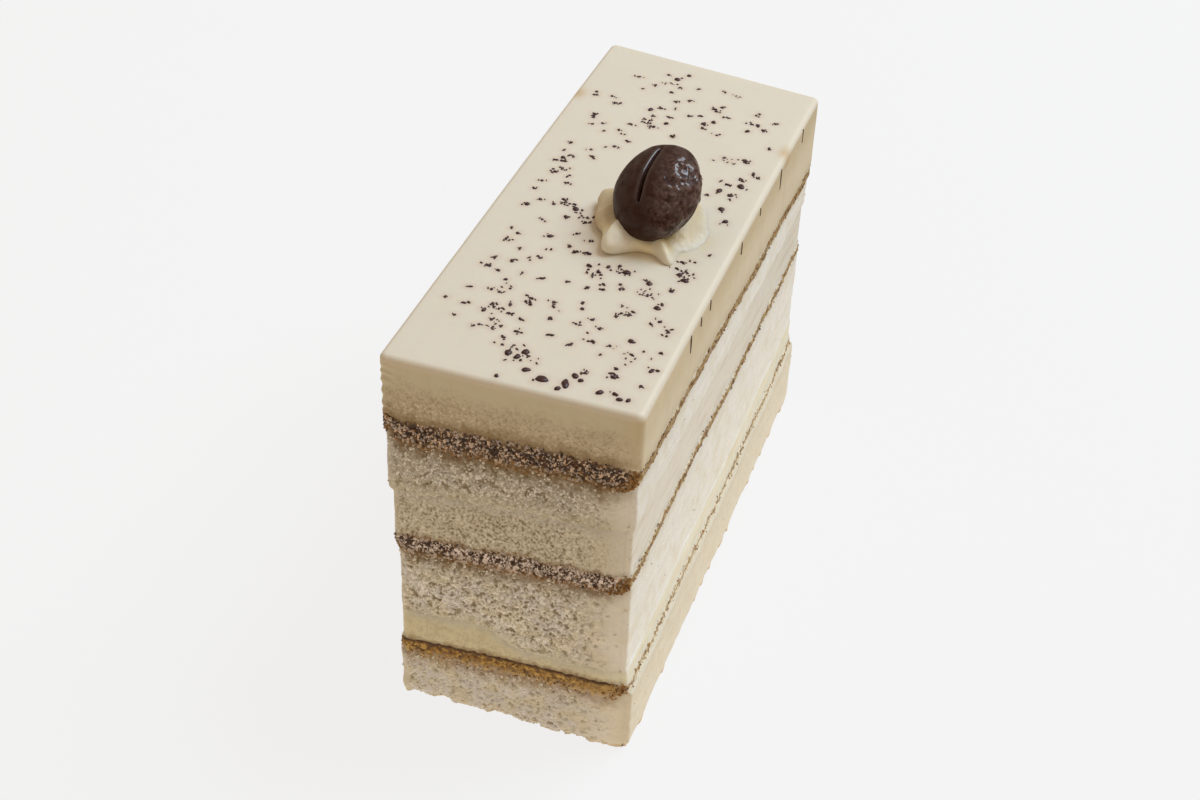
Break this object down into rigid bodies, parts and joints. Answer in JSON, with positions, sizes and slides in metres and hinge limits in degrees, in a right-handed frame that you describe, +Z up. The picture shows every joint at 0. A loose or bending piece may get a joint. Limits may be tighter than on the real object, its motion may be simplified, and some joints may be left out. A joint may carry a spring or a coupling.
{
  "type": "tiramisu cake slice",
  "caption": "Upright slice of layered tiramisu cake with sponge, cream and coffee-soaked seams, chocolate specks on top, a piped rosette and a chocolate coffee bean.",
  "frame": {"origin": "under the middle of the slice, on the surface it stands on", "axes": "+Z up, the front cut faces -Y, the slice runs back along +Y, +X to the right seen from the front"},
  "size_m": [0.0343, 0.0873, 0.0662],
  "materials": {
    "sponge": "pale open crumb, dry and matt",
    "coffee_seam": "dark coffee-soaked crumb, grainy and damp",
    "cream": "ivory cream, fine-grained where it is cut",
    "top_cream": "smooth satin ivory cream with dark chocolate specks",
    "piped_cream": "soft piped cream with a satin sheen",
    "chocolate": "dark chocolate, half glossy and faintly wrinkled",
    "chocolate_speck": "small dark chocolate drops"
  },
  "bodies": {
    "root": {"base_sponge": "sponge", "coffee_seam_low": "coffee_seam", "cream_low": "cream", "mid_sponge": "sponge", "coffee_seam_mid": "coffee_seam", "cream_mid": "cream", "upper_sponge": "sponge", "coffee_seam_top": "coffee_seam", "cream_top": "top_cream", "cream_rosette": "piped_cream", "coffee_bean": "chocolate"}
  },
  "joints": []
}
